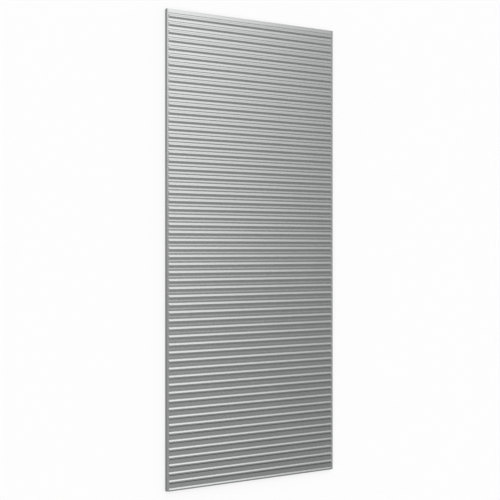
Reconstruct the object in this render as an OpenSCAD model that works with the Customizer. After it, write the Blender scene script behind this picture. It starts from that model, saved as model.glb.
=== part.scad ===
// Ribbed panel of aluminium sheet, one piece, lying with its ribbed face up.
// The ribs run along X, the long sides along Y, and the ribbed face looks along +Z.
// The origin is under the middle of the panel, on the plane that the side returns stand on.
// All lengths are in millimetres and all angles in degrees.

/* [Panel] */
// Width of the panel, along its ribs
panel_w = 1200; // [300:10:1500]
// Number of ribs, one to each pitch of the panel's length
rib_count = 60; // [6:1:72]
// Thickness of the sheet
sheet_t = 2; // [1:0.1:3]

/* [Ribs] */
// Distance from one rib to the next
rib_pitch = 50; // [46:1:80]
// Width of a rib, from foot to foot
rib_w = 31; // [24:1:33]
// Height of a rib over the valleys beside it
rib_h = 4; // [2.5:0.5:8]
// Height of the low crown that fills the space between two ribs
crown_h = 0.7; // [0.4:0.1:1.2]
// Length of the crown's short flank, on its side towards the end that is cut past a crest
crown_fall_l = 7; // [5:0.5:9]
// Distance from the last rib's crest to the cut end of the sheet
end_past_crest = 5.5; // [0:0.5:10]

/* [Sides] */
// Width of the flat margin along each long side, with its fold
margin_w = 9.5; // [9.5:0.5:30]
// Length over which the ribs run out beside each margin
runout_l = 12; // [10:1:40]
// Step from the margin up to the valleys between the ribs
field_step = 0.5; // [0.3:0.1:3]
// Depth of the side returns, from the margin's face to their free edge
return_h = 25; // [12:1:60]
// Outer radius of the fold between margin and return
fold_r = 8; // [3.5:0.5:9]

/* [Hidden] */
// Climb of the run-out past the crests, so that each crest meets it at an angle
runout_over = 1;
// Distance that a cut runs past the face that it opens
overrun = 5;
// Straight steps in each arc of the section
rib_steps = 4;
crown_steps = 2;
runout_steps = 3;
fold_steps = 4;

panel_l = rib_count * rib_pitch;
crown_w = rib_pitch - rib_w;
crown_rise_l = crown_w - crown_fall_l;
// Flat land between the other cut end and the first crown
land_l = rib_w / 2 - end_past_crest;
valley_z = return_h + field_step;
runout_h = field_step + rib_h + runout_over;
// Half length of the wave, past both cut ends
wave_reach = panel_l / 2 + land_l + overrun;

// Radius of the two equal arcs, one hollow and one round, that make up a flank.
function flank_r(run, rise) = (run * run + rise * rise) / (4 * rise);

// Slope of the flank where its two arcs meet.
function flank_a(run, rise) = 2 * atan(rise / run);

// Points up a flank, from its foot at the origin to its crest, moved square into the sheet by inset.
function flank(run, rise, inset, steps) =
    let (r = flank_r(run, rise), a = flank_a(run, rise))
    concat(
        [for (i = [0 : steps - 1])
            let (f = a * i / steps)
            [(r + inset) * sin(f), r - (r + inset) * cos(f)]],
        [for (i = [steps : -1 : 0])
            let (f = a * i / steps)
            [run - (r - inset) * sin(f), rise - r + (r - inset) * cos(f)]]);

// Points over a swell of the wave, up one flank and down the other, without its last foot.
function swell(rise_l, fall_l, rise, inset, steps) =
    let (up = flank(rise_l, rise, inset, steps), down = flank(fall_l, rise, inset, steps))
    concat(up, [for (i = [len(down) - 2 : -1 : 1]) [rise_l + fall_l - down[i][0], down[i][1]]]);

// Points over one pitch of the wave: a low crown that leans, then an even rib.
function wave_pitch(inset) =
    concat(
        swell(crown_rise_l, crown_fall_l, crown_h, inset, crown_steps),
        [for (p = swell(rib_w / 2, rib_w / 2, rib_h, inset, rib_steps)) [crown_w + p[0], p[1]]]);

// Points from a return's free edge over fold, margin and run-out, measured from the side's outer face.
function side(inset, past) =
    concat(
        [[inset, -past]],
        [for (i = [0 : fold_steps])
            let (f = 90 * i / fold_steps)
            [fold_r - (fold_r - inset) * cos(f), return_h - fold_r + (fold_r - inset) * sin(f)]],
        [for (p = flank(runout_l, runout_h, inset, runout_steps)) [margin_w + p[0], return_h + p[1]]]);

// Area under the wave, along the panel.
module wave_area(inset, past) {
    start = panel_l / 2 - land_l;
    unit = wave_pitch(inset);
    polygon(concat(
        [[wave_reach, -past - overrun], [wave_reach, valley_z - inset]],
        [for (i = [0 : rib_count - 1], p = unit) [start - i * rib_pitch - p[0], valley_z + p[1]]],
        [[start - panel_l, valley_z - inset],
         [-wave_reach, valley_z - inset],
         [-wave_reach, -past - overrun]]));
}

// Area under margins, run-outs and the clear space over the ribs, across the panel.
module across_area(inset, past) {
    half = side(inset, past);
    polygon(concat(
        [for (p = half) [p[0] - panel_w / 2, p[1]]],
        [for (i = [len(half) - 1 : -1 : 0]) [panel_w / 2 - half[i][0], half[i][1]]]));
}

// The block under one face of the sheet: what lies under the wave and inside the sides.
module form(inset, past) {
    intersection() {
        rotate([90, 0, 90])
            linear_extrude(panel_w + 2 * overrun, center = true)
                wave_area(inset, past);
        rotate([90, 0, 0])
            linear_extrude(panel_l + 2 * past, center = true)
                across_area(inset, past);
    }
}

// The sheet: the block under its face, less the block under its back.
module panel() {
    color("#b7b9b9")
        difference() {
            form(0, 0);
            form(sheet_t, overrun);
        }
}

panel();
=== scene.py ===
# %% [markdown]
# # A ribbed aluminium panel
#
# The object is one sheet of aluminium, pressed into close ribs and folded back along its two
# long sides. It lies on the floor with its ribbed face up, and the camera looks down on it.
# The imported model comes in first, because every size and place below is measured from it.

import bpy
import numpy as np
from mathutils import Matrix, Vector


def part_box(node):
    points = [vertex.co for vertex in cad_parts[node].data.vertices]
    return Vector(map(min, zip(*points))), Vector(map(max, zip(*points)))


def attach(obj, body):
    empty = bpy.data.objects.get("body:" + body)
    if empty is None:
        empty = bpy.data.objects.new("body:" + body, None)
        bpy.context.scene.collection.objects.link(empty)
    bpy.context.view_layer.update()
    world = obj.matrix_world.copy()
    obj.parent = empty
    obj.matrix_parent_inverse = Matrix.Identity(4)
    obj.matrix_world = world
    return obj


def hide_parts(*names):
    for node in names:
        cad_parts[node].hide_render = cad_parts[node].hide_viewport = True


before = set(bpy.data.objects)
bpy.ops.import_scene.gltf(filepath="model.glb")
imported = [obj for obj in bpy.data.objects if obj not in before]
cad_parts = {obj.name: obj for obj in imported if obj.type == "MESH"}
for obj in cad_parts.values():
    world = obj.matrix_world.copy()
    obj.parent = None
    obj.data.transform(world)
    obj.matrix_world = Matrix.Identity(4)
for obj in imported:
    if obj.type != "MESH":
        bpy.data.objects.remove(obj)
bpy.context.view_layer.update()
low, high = (np.array(corner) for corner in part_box("panel"))
print("panel of the packed model, in metres:", np.round(high - low, 4))

# %% [markdown]
# ## Sizes
#
# The section of the sheet repeats with every pitch: a low crown, then a rib. The crown leans: its
# long flank comes first and its short one falls towards the next rib, which draws the fine second
# line between the ribs. These are the few sizes that draw the section, in metres. The width, the
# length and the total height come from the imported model, so they are not written a second time.

# %% Sizes of the section
MM = 0.001
SHEET_T = 2 * MM
RIB_PITCH = 50 * MM
RIB_W = 31 * MM
RIB_H = 4 * MM
CROWN_W = RIB_PITCH - RIB_W
CROWN_H = 0.7 * MM
CROWN_FALL_L = 7 * MM  # the crown's short flank
CROWN_RISE_L = CROWN_W - CROWN_FALL_L
END_PAST_CREST = 5.5 * MM  # from the last rib's crest to the cut end
MARGIN_W = 9.5 * MM  # the flat margin along a long side, with its fold
RUNOUT_L = 12 * MM  # the length over which the ribs run out
FIELD_STEP = 0.5 * MM  # from the margin up to the valleys
RUNOUT_OVER = 1 * MM  # the climb of the run-out past the crests
FOLD_R = 8 * MM  # the outer radius of the fold

half_w = high[0]
half_l = high[1]
valley_z = high[2] - RIB_H
margin_z = valley_z - FIELD_STEP
runout_h = FIELD_STEP + RIB_H + RUNOUT_OVER
land_l = RIB_W / 2 - END_PAST_CREST
rib_count = round(2 * half_l / RIB_PITCH)
print("ribs:", rib_count)
print("margin and valleys over the floor, in mm:", np.round(np.array([margin_z, valley_z]) / MM, 2))

# %% [markdown]
# ## The wave of the section
#
# A pressed flank is two equal arcs that meet without a corner: a hollow one at the foot and a
# round one at the crest. The back of the sheet is the same flank moved square into the metal, so
# the hollow arc grows by the thickness and the round one shrinks by it. Both faces of the sheet
# therefore come from one function, and the metal is equally thick everywhere.


# %% Flank and wave
def flank_arc(run, rise):
    """Radius and steepest slope of the two equal arcs that climb rise over run."""
    return (run**2 + rise**2) / (4 * rise), 2 * np.arctan2(rise, run)


def flank_height(along, run, rise, inset):
    """Height of a flank at a distance from its foot: the hollow arc up to where the arcs meet,
    the round arc from there to the crest, both moved into the sheet by inset."""
    radius, slope = flank_arc(run, rise)
    hollow = radius - np.sqrt(np.maximum((radius + inset) ** 2 - along**2, 0))
    crest = rise - radius + np.sqrt(np.maximum((radius - inset) ** 2 - (run - along) ** 2, 0))
    return np.where(along < (radius + inset) * np.sin(slope), hollow, crest)


def swell_height(along, rise_l, fall_l, rise, inset):
    """Height of a swell at a distance from its start: up one flank to the crest, then down a
    second one, which is the same kind of flank measured from the swell's end."""
    up = flank_height(np.clip(along, 0, rise_l), rise_l, rise, inset)
    down = flank_height(np.clip(rise_l + fall_l - along, 0, fall_l), fall_l, rise, inset)
    return np.where(along < rise_l, up, down)


def wave_height(y, inset):
    """Height of the wave at a place along the panel: a flat land, then pitch after pitch, each
    with a leaning crown first and an even rib after it."""
    along = half_l - land_l - y
    place = np.mod(along, RIB_PITCH)
    crown = swell_height(place, CROWN_RISE_L, CROWN_FALL_L, CROWN_H, inset)
    rib = swell_height(place - CROWN_W, RIB_W / 2, RIB_W / 2, RIB_H, inset)
    wave = np.where(place < CROWN_W, crown, rib)
    return valley_z + np.where(along < 0, -inset, wave)


crests = half_l - land_l - np.array([CROWN_RISE_L, CROWN_W + RIB_W / 2])
print("crown and rib over the margin, in mm:", np.round((wave_height(crests, 0) - margin_z) / MM, 2))

# %% [markdown]
# ## The outline across
#
# Across the panel the sheet climbs a return, bends over a fold, lies flat as a margin and then
# climbs to where the ribs run out. The return stands upright, so this outline can't be a height
# over x. It is a path instead: a list of x and z, the same for both faces apart from the inset.

# %% Outline across the panel
FOLD_POINTS = 6
RUNOUT_STEPS = 3


def rise_steps(run, rise, steps):
    """Distances from a flank's foot at equal turns of its two arcs, without the foot itself."""
    radius, slope = flank_arc(run, rise)
    turn = slope * np.arange(1, steps + 1) / steps
    return np.concatenate([radius * np.sin(turn), run - radius * np.sin(turn[-2::-1]), [run]])


def across_path(inset):
    """Path from one return's free edge to the other: return, fold arc, margin, run-out, field."""
    turn = np.radians(np.linspace(0, 90, FOLD_POINTS))
    fold_x = FOLD_R - (FOLD_R - inset) * np.cos(turn)
    fold_z = margin_z - FOLD_R + (FOLD_R - inset) * np.sin(turn)
    climb = np.concatenate([[0], rise_steps(RUNOUT_L, runout_h, RUNOUT_STEPS)])
    climb_z = margin_z + flank_height(climb, RUNOUT_L, runout_h, inset)
    x = np.concatenate([[inset], fold_x, MARGIN_W + climb, [half_w / 2]]) - half_w
    z = np.concatenate([[0], fold_z, climb_z, climb_z[-1:]])
    return np.concatenate([x, -x[::-1]]), np.concatenate([z, z[::-1]])


print("points across:", across_path(0)[0].size)

# %% [markdown]
# ## The sheet
#
# Each face of the sheet is a grid of two parameters: the path across and the place along. Its
# height is the lower of wave and outline, so the ribs end where they sink into the run-out, and a
# smooth minimum rounds that edge as a press would. Two such grids, front and back, and a strip of
# faces round their rim make one closed skin. A solidified surface would be shorter to write, but
# its thickness would be wrong in the tight arcs.


# %% Grid of one face and closed skin
def smooth_lower(a, b, width):
    """The lower of two heights, with a rounded step over the width in which they are close."""
    share = np.clip(0.5 + 0.5 * (b - a) / width, 0, 1)
    return b + (a - b) * share - width * share * (1 - share)


def face_points(y, inset):
    """Points of one face of the sheet, as rows along y and columns across."""
    x, z = across_path(inset)
    height = smooth_lower(z[None, :], wave_height(y, inset)[:, None], FIELD_STEP)
    spread = np.ones_like(height)
    return np.stack([x[None, :] * spread, y[:, None] * spread, height], axis=-1)


def grid_quads(start, rows, columns):
    """Corner numbers of the quads of a grid whose first point has the number start."""
    number = start + np.arange(rows * columns).reshape(rows, columns)
    corners = [number[:-1, :-1], number[:-1, 1:], number[1:, 1:], number[1:, :-1]]
    return np.stack(corners, axis=-1).reshape(-1, 4)


def rim_quads(rows, columns):
    """Quads between the rims of two equal grids, the second one numbered after the first."""
    number = np.arange(rows * columns).reshape(rows, columns)
    rim = np.concatenate([number[0, :-1], number[:-1, -1], number[-1, :0:-1], number[:0:-1, 0]])
    after = np.roll(rim, -1)
    size = rows * columns
    return np.stack([rim, rim + size, after + size, after], axis=-1)


print("a grid of 3 by 4 points has", len(grid_quads(0, 3, 4)), "quads, its rim", len(rim_quads(3, 4)))

# %% [markdown]
# The rows follow the arcs: equal turns of each arc give close rows where the sheet bends and wide
# ones where it is nearly flat. One pitch of rows is worked out and repeated along the panel.

# %% Rows along the panel
CROWN_STEPS = 2
RIB_STEPS = 4
END_CLEAR = 1 * MM  # rows closer than this to the cut end are left out


def swell_steps(rise_l, fall_l, rise, steps):
    """Distances over a swell from its start: the steps up one flank, those down the other."""
    width = rise_l + fall_l
    down = rise_steps(fall_l, rise, steps)[-2::-1]
    return np.concatenate([rise_steps(rise_l, rise, steps), width - down, [width]])


crown_rows = swell_steps(CROWN_RISE_L, CROWN_FALL_L, CROWN_H, CROWN_STEPS)
rib_rows = CROWN_W + swell_steps(RIB_W / 2, RIB_W / 2, RIB_H, RIB_STEPS)
pitch_rows = np.concatenate([crown_rows, rib_rows])
starts = land_l + RIB_PITCH * np.arange(rib_count)
places = np.concatenate([[0, land_l], (starts[:, None] + pitch_rows[None, :]).ravel()])
places = np.append(places[places < 2 * half_l - END_CLEAR], 2 * half_l)
rows_y = half_l - places
print("rows along:", rows_y.size)

# %% [markdown]
# The faces of the rim are the cut edges of the sheet. They are marked in an attribute, so that the
# metal can look freshly sheared there.


# %% The panel piece
SHARP_ANGLE = np.radians(40)  # edges that bend more than this stay sharp


def mesh_object(name, points, quads):
    """A mesh object from arrays of points and four-cornered faces, shaded smooth."""
    mesh = bpy.data.meshes.new(name)
    mesh.vertices.add(len(points))
    mesh.vertices.foreach_set("co", points.astype(np.float32).ravel())
    mesh.loops.add(quads.size)
    mesh.loops.foreach_set("vertex_index", quads.astype(np.int32).ravel())
    mesh.polygons.add(len(quads))
    mesh.polygons.foreach_set("loop_start", np.arange(0, quads.size, 4, dtype=np.int32))
    mesh.polygons.foreach_set("use_smooth", np.ones(len(quads), dtype=bool))
    mesh.update(calc_edges=True)
    mesh.validate()
    obj = bpy.data.objects.new(name, mesh)
    bpy.context.scene.collection.objects.link(obj)
    return obj


front = face_points(rows_y, 0)
back = face_points(rows_y, SHEET_T)
rows, columns = front.shape[:2]
points = np.concatenate([front.reshape(-1, 3), back.reshape(-1, 3)])
rim = rim_quads(rows, columns)[:, ::-1]
skin = [grid_quads(0, rows, columns)[:, ::-1], grid_quads(rows * columns, rows, columns), rim]
quads = np.concatenate(skin)

panel = mesh_object("panel_sheet", points, quads)
panel.data.set_sharp_from_angle(angle=SHARP_ANGLE)
cut = (np.arange(len(quads)) >= len(quads) - len(rim)).astype(np.float32)
panel.data.attributes.new("cut_edge", "FLOAT", "FACE").data.foreach_set("value", cut)
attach(panel, "root")
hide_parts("panel")
print("panel faces:", len(quads), "triangles:", 2 * len(quads), "on cut edges:", int(cut.sum()))

# %% [markdown]
# ## The metal
#
# Plain rolled aluminium, as it leaves the mill, is a grey satin metal: bright enough to mirror
# light and dark, too rough to show a picture. Two helpers come first. One turns the hex code of a
# colour, as a paint chart or a screen gives it, into the linear light that Blender counts in. The
# other adds any node with its settings, its socket values and its links.


# %% Colour and node helpers
def linear(hex_code):
    """Linear colour of an sRGB hex code: each channel through the sRGB curve, with alpha 1."""
    channel = np.array([int(hex_code[i : i + 2], 16) for i in (1, 3, 5)]) / 255
    curve = np.where(channel <= 0.04045, channel / 12.92, ((channel + 0.055) / 1.055) ** 2.4)
    return (*curve.tolist(), 1.0)


def add_node(tree, kind, links=None, values=None, **settings):
    """Adds a node: settings are its properties, values its sockets, links what feeds a socket."""
    node = tree.nodes.new(kind)
    for name, value in settings.items():
        setattr(node, name, value)
    for socket, value in (values or {}).items():
        node.inputs[socket].default_value = value
    for socket, source in (links or {}).items():
        tree.links.new(source, node.inputs[socket])
    return node


print("a middle grey in linear light:", np.round(linear("#808080")[:3], 3))

# %% [markdown]
# The rolls leave fine straight lines along the sheet, and handling leaves it faintly cloudy. Both
# are noise on Object coordinates, so they keep their real size: the lines are noise that is
# stretched along the panel, the clouds are noise as it is. A picture of metal could be wrapped
# round the sheet instead, but it would stretch in the ribs.

# %% Mill finish aluminium: lines and clouds
LINE_W = 3 * MM  # real rolling lines are finer than a tenth of this and would not show
LINE_L = 900 * MM
CLOUD = 260 * MM
CLOUD_SHARE = 0.6

# Rolled aluminium gives the eye soft bright and dark bands along the ribs, not a mirrored picture.
metal = bpy.data.materials.new("mill_finish_aluminium")
metal.use_nodes = True
tree = metal.node_tree
shader = tree.nodes["Principled BSDF"]
shader.inputs["Metallic"].default_value = 1.0
place = add_node(tree, "ShaderNodeTexCoord")
stretch = add_node(
    tree,
    "ShaderNodeMapping",
    links={"Vector": place.outputs["Object"]},
    values={"Scale": (1 / LINE_W, 1 / LINE_L, 1 / LINE_L)},
)
lines = add_node(
    tree,
    "ShaderNodeTexNoise",
    links={"Vector": stretch.outputs["Vector"]},
    values={"Scale": 1.0, "Detail": 1.0, "Roughness": 0.5},
)
clouds = add_node(
    tree,
    "ShaderNodeTexNoise",
    links={"Vector": place.outputs["Object"]},
    values={"Scale": 1 / CLOUD, "Detail": 4.0, "Roughness": 0.55},
)
both = add_node(
    tree,
    "ShaderNodeMix",
    links={"A": lines.outputs["Fac"], "B": clouds.outputs["Fac"]},
    values={"Factor": CLOUD_SHARE},
)
print("lines every", LINE_W / MM, "mm, clouds of", CLOUD / MM, "mm")

# %% [markdown]
# The grey varies a little with lines and clouds. Over the fold the grey is darkened towards the
# return, which is painted shade that makes the return look dark; the height over the floor tells
# where. The sheared edges are lighter, which is told by the attribute on their faces.

# %% Mill finish aluminium: colour, with painted shade on the fold and return
FACE_GREYS = ("#989a99", "#9d9f9e")
CUT_GREY = "#b2b4b4"
# share of the grey that is left on the return: painted shade
PAINTED_SIDE_SHADE = 0.42

tint = add_node(
    tree,
    "ShaderNodeMix",
    data_type="RGBA",
    links={"Factor": both.outputs["Result"]},
    values={"A": linear(FACE_GREYS[0]), "B": linear(FACE_GREYS[1])},
)
spot = add_node(tree, "ShaderNodeSeparateXYZ", links={"Vector": place.outputs["Object"]})
# Painted shade: from the margin down over the fold, the grey is multiplied down to that share.
painted_shade_ends = {"From Min": margin_z - FOLD_R, "From Max": margin_z}
painted_side_shade = add_node(
    tree,
    "ShaderNodeMapRange",
    links={"Value": spot.outputs["Z"]},
    values={**painted_shade_ends, "To Min": PAINTED_SIDE_SHADE, "To Max": 1.0},
)
grey_with_painted_shade = add_node(
    tree,
    "ShaderNodeMix",
    data_type="RGBA",
    blend_type="MULTIPLY",
    links={"A": tint.outputs["Result"], "B": painted_side_shade.outputs["Result"]},
    values={"Factor": 1.0},
)
cut_edge = add_node(tree, "ShaderNodeAttribute", attribute_name="cut_edge")
colour = add_node(
    tree,
    "ShaderNodeMix",
    data_type="RGBA",
    links={"Factor": cut_edge.outputs["Fac"], "A": grey_with_painted_shade.outputs["Result"]},
    values={"B": linear(CUT_GREY)},
)
tree.links.new(colour.outputs["Result"], shader.inputs["Base Color"])
print("face greys:", FACE_GREYS, "cut edges:", CUT_GREY)

# %% [markdown]
# Satin metal has a roughness of about a quarter. Lines and clouds shift it slightly, the torn
# grain of the sheared edges is rougher, and the lines also have a very small depth.

# %% Mill finish aluminium: gloss and relief
SATIN = (0.225, 0.265)
NOISE_ENDS = (0.3, 0.7)  # nearly all of the noise lies between these
CUT_ROUGHNESS = 0.45
LINE_DEPTH = 0.0004 * MM

satin_ends = {"From Min": NOISE_ENDS[0], "From Max": NOISE_ENDS[1]}
satin = add_node(
    tree,
    "ShaderNodeMapRange",
    links={"Value": both.outputs["Result"]},
    values={**satin_ends, "To Min": SATIN[0], "To Max": SATIN[1]},
)
roughness = add_node(
    tree,
    "ShaderNodeMix",
    links={"Factor": cut_edge.outputs["Fac"], "A": satin.outputs["Result"]},
    values={"B": CUT_ROUGHNESS},
)
relief = add_node(
    tree,
    "ShaderNodeBump",
    links={"Height": lines.outputs["Fac"]},
    values={"Strength": 1.0, "Distance": LINE_DEPTH},
)
tree.links.new(roughness.outputs["Result"], shader.inputs["Roughness"])
tree.links.new(relief.outputs["Normal"], shader.inputs["Normal"])
panel.data.materials.append(metal)
print("material:", metal.name, "with", len(tree.nodes), "nodes")

# %% [markdown]
# ## Floor, light and camera
#
# The floor is plain matt white. What the camera and the metal see of it is partly a plain white of
# strength 1, so it stays white without more light on the panel, and the rest keeps the shadow.

# %% Floor
FLOOR_HALF = 300.0  # metres, so that no view shows its edge near the panel
FLOOR_COLOUR = "#f3f3f3"
FLOOR_ROUGHNESS = 0.9
FLOOR_WHITE = 0.68
WHITE = linear("#ffffff")

corners = np.array([[-1, -1], [1, -1], [1, 1], [-1, 1]]) * FLOOR_HALF
floor = mesh_object("floor", np.c_[corners, np.zeros(4)], np.arange(4).reshape(1, 4))

# Matt paint gives the eye an even white ground with nothing on it but the panel's soft shadow.
paint = bpy.data.materials.new("matt_white_floor")
paint.use_nodes = True
coat = paint.node_tree
matt = coat.nodes["Principled BSDF"]
matt.inputs["Base Color"].default_value = linear(FLOOR_COLOUR)
matt.inputs["Roughness"].default_value = FLOOR_ROUGHNESS
matt.inputs["Specular IOR Level"].default_value = 0.0
white = add_node(coat, "ShaderNodeEmission", values={"Color": WHITE, "Strength": 1.0})
light_path = add_node(coat, "ShaderNodeLightPath")
looking = light_path.outputs["Is Camera Ray"]
for other in ("Is Glossy Ray", "Is Transmission Ray"):
    either = add_node(
        coat,
        "ShaderNodeMath",
        operation="MAXIMUM",
        links={0: looking, 1: light_path.outputs[other]},
    )
    looking = either.outputs["Value"]
share = add_node(
    coat,
    "ShaderNodeMath",
    operation="MULTIPLY",
    links={0: looking},
    values={1: FLOOR_WHITE},
)
seen = add_node(
    coat,
    "ShaderNodeMixShader",
    links={0: share.outputs["Value"], 1: matt.outputs["BSDF"], 2: white.outputs["Emission"]},
)
surface = coat.nodes["Material Output"].inputs["Surface"]
coat.links.new(seen.outputs["Shader"], surface)
floor.data.materials.append(paint)
print("floor:", 2 * FLOOR_HALF, "m wide")

# %% [markdown]
# The light is soft and all in the world, as in a studio tent: an even ambient, and one broad glow
# over the panel's upper half. A rib mirrors a different part of it with each flank: the upper
# flank meets the glow and turns bright, the lower one looks past it and turns dark. Further up the
# panel more of the section meets the glow, so the flat parts brighten towards the top. Area lamps
# could make the glow too, but metal this smooth would show their edges.
#
# A direction of the sky is given by two numbers: its angle along the panel, from straight up
# towards the upper end, and its share of x, which points along the ribs. The glow leans a little,
# so its fading towards the right is measured on a mixture of the two.

# %% Soft light
GLOW_LEAN = 0.052

world = bpy.data.worlds.new("soft_studio")
bpy.context.scene.world = world
world.use_nodes = True
sky = world.node_tree
aim = add_node(sky, "ShaderNodeTexCoord")
ray = add_node(sky, "ShaderNodeSeparateXYZ", links={"Vector": aim.outputs["Generated"]})
angle = add_node(
    sky,
    "ShaderNodeMath",
    operation="ARCTAN2",
    links={0: ray.outputs["Y"], 1: ray.outputs["Z"]},
)
leaning = add_node(
    sky,
    "ShaderNodeMath",
    operation="MULTIPLY_ADD",
    links={0: angle.outputs["Value"], 2: ray.outputs["X"]},
    values={1: -GLOW_LEAN},
)
print("the glow leans by", GLOW_LEAN, "of x to each radian along the panel")

# %% [markdown]
# Each part of the light is a product of passages, from one level to another while a number goes
# from end to end. The glow has four. The ambient has two: it weakens towards the right, and it
# turns dark low down beyond the panel's lower end, which makes the dark lines. A fill from the
# right has one, and so has a pale horizon, which alone goes by z.

# %% Passages of the light
along = angle.outputs["Value"]
across = ray.outputs["X"]
# Each passage has the number that it follows, that number's ends, the levels there and its kind.
passages = {
    "glow_rise": (along, np.radians([5.8, 8.6]), (0.0, 1.0), "SMOOTHSTEP"),
    "glow_fade": (along, np.radians([32.5, 90.0]), (2.45, 0.0), "LINEAR"),
    "glow_right": (leaning.outputs["Value"], (0.5635, 0.245), (0.0, 1.0), "LINEAR"),
    "glow_left": (across, (-0.1, 0.3), (0.2, 1.0), "LINEAR"),
    "ambient": (along, np.radians([-59.5, -53.0]), (0.08, 0.835), "LINEAR"),
    "ambient_right": (across, (0.3, 0.55), (1.0, 0.485), "LINEAR"),
    "fill": (across, (0.55, 0.78), (0.0, 0.85), "LINEAR"),
    "horizon": (ray.outputs["Z"], (0.02, 0.2), (0.88, 0.0), "LINEAR"),
}
level = {}
for name, (number, ends, levels, kind) in passages.items():
    passage = add_node(
        sky,
        "ShaderNodeMapRange",
        name=name,
        interpolation_type=kind,
        links={"Value": number},
        values={"From Min": ends[0], "From Max": ends[1], "To Min": levels[0], "To Max": levels[1]},
    )
    level[name] = passage.outputs["Result"]
print("passages:", list(level))

# %% [markdown]
# The passages of each part are multiplied, and the sky's strength is the sum of the four parts.
# Its colour is plain white, because the photograph's greys have hardly any tint.

# %% Sum of the light
parts = [
    ["glow_rise", "glow_fade", "glow_right", "glow_left"],
    ["ambient", "ambient_right"],
    ["fill"],
    ["horizon"],
]
brightness = []
for first, *others in parts:
    product = level[first]
    for name in others:
        times = add_node(
            sky,
            "ShaderNodeMath",
            operation="MULTIPLY",
            links={0: product, 1: level[name]},
        )
        product = times.outputs["Value"]
    brightness.append(product)

strength = brightness[0]
for part in brightness[1:]:
    plus = add_node(sky, "ShaderNodeMath", operation="ADD", links={0: strength, 1: part})
    strength = plus.outputs["Value"]
backdrop = sky.nodes["Background"]
backdrop.inputs["Color"].default_value = WHITE
sky.links.new(strength, backdrop.inputs["Strength"])
print("sky nodes:", len(sky.nodes))

# %% [markdown]
# The camera stands where the photograph's did, measured against the panel: level with its middle,
# a little to its left, looking square along its short side. Its lens makes the far long side as
# much shorter as it is in the photograph.

# %% Camera
VIEW_TURN = np.radians(24.963)
VIEW_LEFT = 2.1756  # metres from the panel's middle
VIEW_UP = 4.6119  # metres over the margins
LENS_MM = 56.25
SENSOR_MM = 36.0

camera = bpy.data.objects.new("camera", bpy.data.cameras.new("camera"))
camera.data.lens = LENS_MM
camera.data.sensor_width = SENSOR_MM
right = Vector((np.cos(VIEW_TURN), 0, np.sin(VIEW_TURN)))
up = Vector((0, 1, 0))
turn = Matrix((right, up, right.cross(up))).transposed()
camera.matrix_world = Matrix.Translation((-VIEW_LEFT, 0, margin_z + VIEW_UP)) @ turn.to_4x4()
bpy.context.scene.collection.objects.link(camera)
bpy.context.scene.camera = camera
bpy.context.scene.view_settings.view_transform = "Standard"
print("camera at", [round(v, 3) for v in camera.location])
